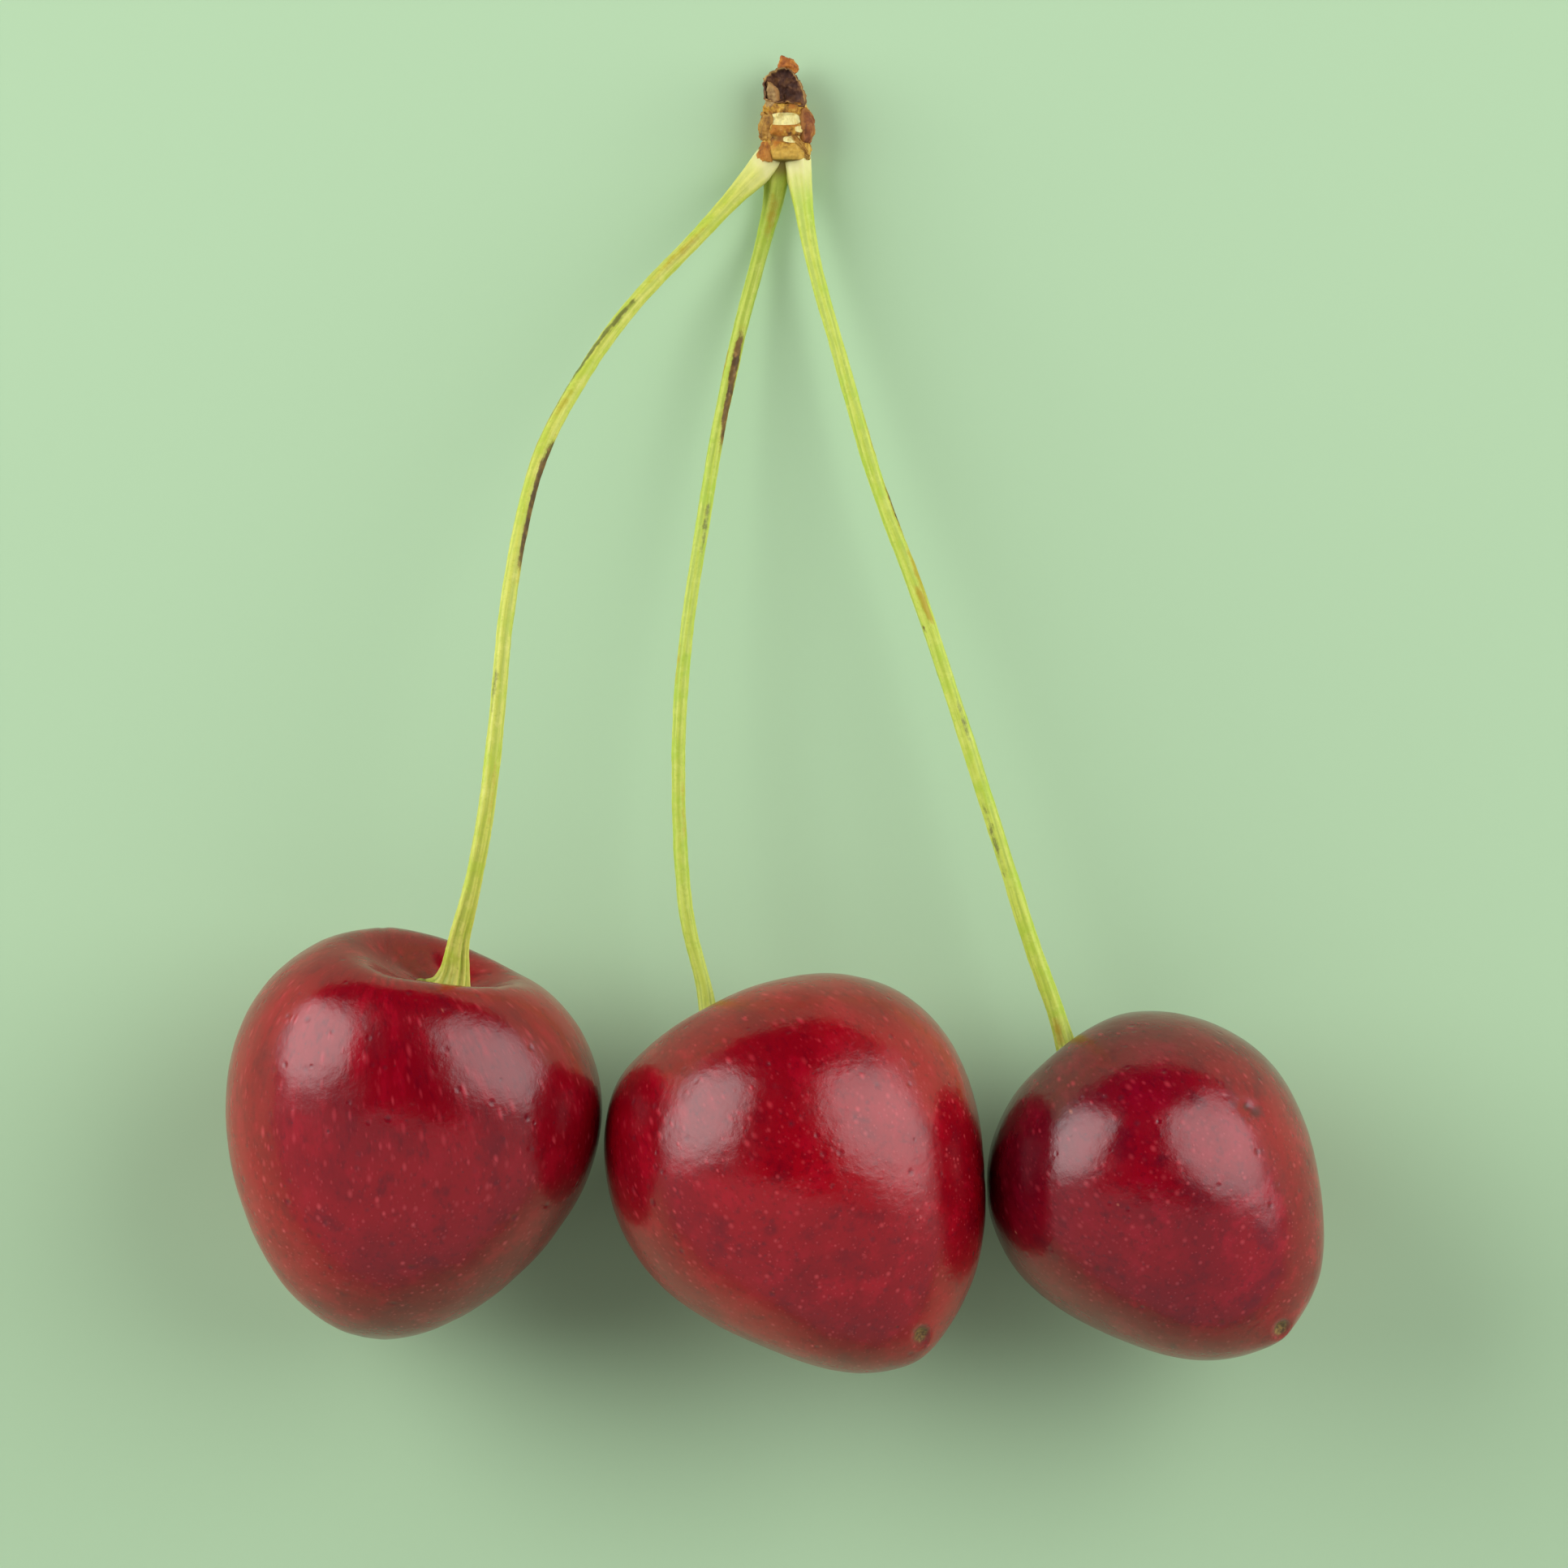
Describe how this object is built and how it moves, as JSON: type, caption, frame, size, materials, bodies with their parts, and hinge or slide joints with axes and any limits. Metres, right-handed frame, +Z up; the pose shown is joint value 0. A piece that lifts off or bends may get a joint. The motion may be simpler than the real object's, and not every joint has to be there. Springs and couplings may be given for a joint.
{
  "type": "cherries on stalks",
  "caption": "Bunch of ripe sweet cherries on long curved green stalks that meet under one short woody spur with dry bud scales, laid down on a table.",
  "frame": {"origin": "on the surface the bunch lies on, under the middle of the object's box", "axes": "+Y from the fruit to the woody spur, +X to the right when the bunch is seen from above with the spur away from the viewer, +Z up"},
  "size_m": [0.0678, 0.0816, 0.0231],
  "materials": {
    "cherry_skin": "smooth glossy fruit skin, deep red with pale specks",
    "cherry_skin_dark": "smooth glossy fruit skin, maroon with pale specks",
    "stalk_green": "satin, finely ridged yellow-green stalk",
    "spur_wood": "matt rough bark with cream scars",
    "bud_scale": "matt dry papery scale",
    "bud_scale_dark": "matt dry dark brown scale"
  },
  "bodies": {
    "root": {"cherry_left": "cherry_skin", "cherry_middle": "cherry_skin", "cherry_right": "cherry_skin_dark", "stalk_left": "stalk_green", "stalk_middle": "stalk_green", "stalk_right": "stalk_green", "spur_stump": "spur_wood", "bud_scale_tip": "bud_scale", "bud_scale_hollow": "bud_scale_dark", "bud_scale_upper_left": "bud_scale", "bud_scale_left": "bud_scale", "bud_scale_right": "bud_scale", "bud_scale_lower_left": "bud_scale", "bud_scale_lower_right": "bud_scale"}
  },
  "joints": []
}
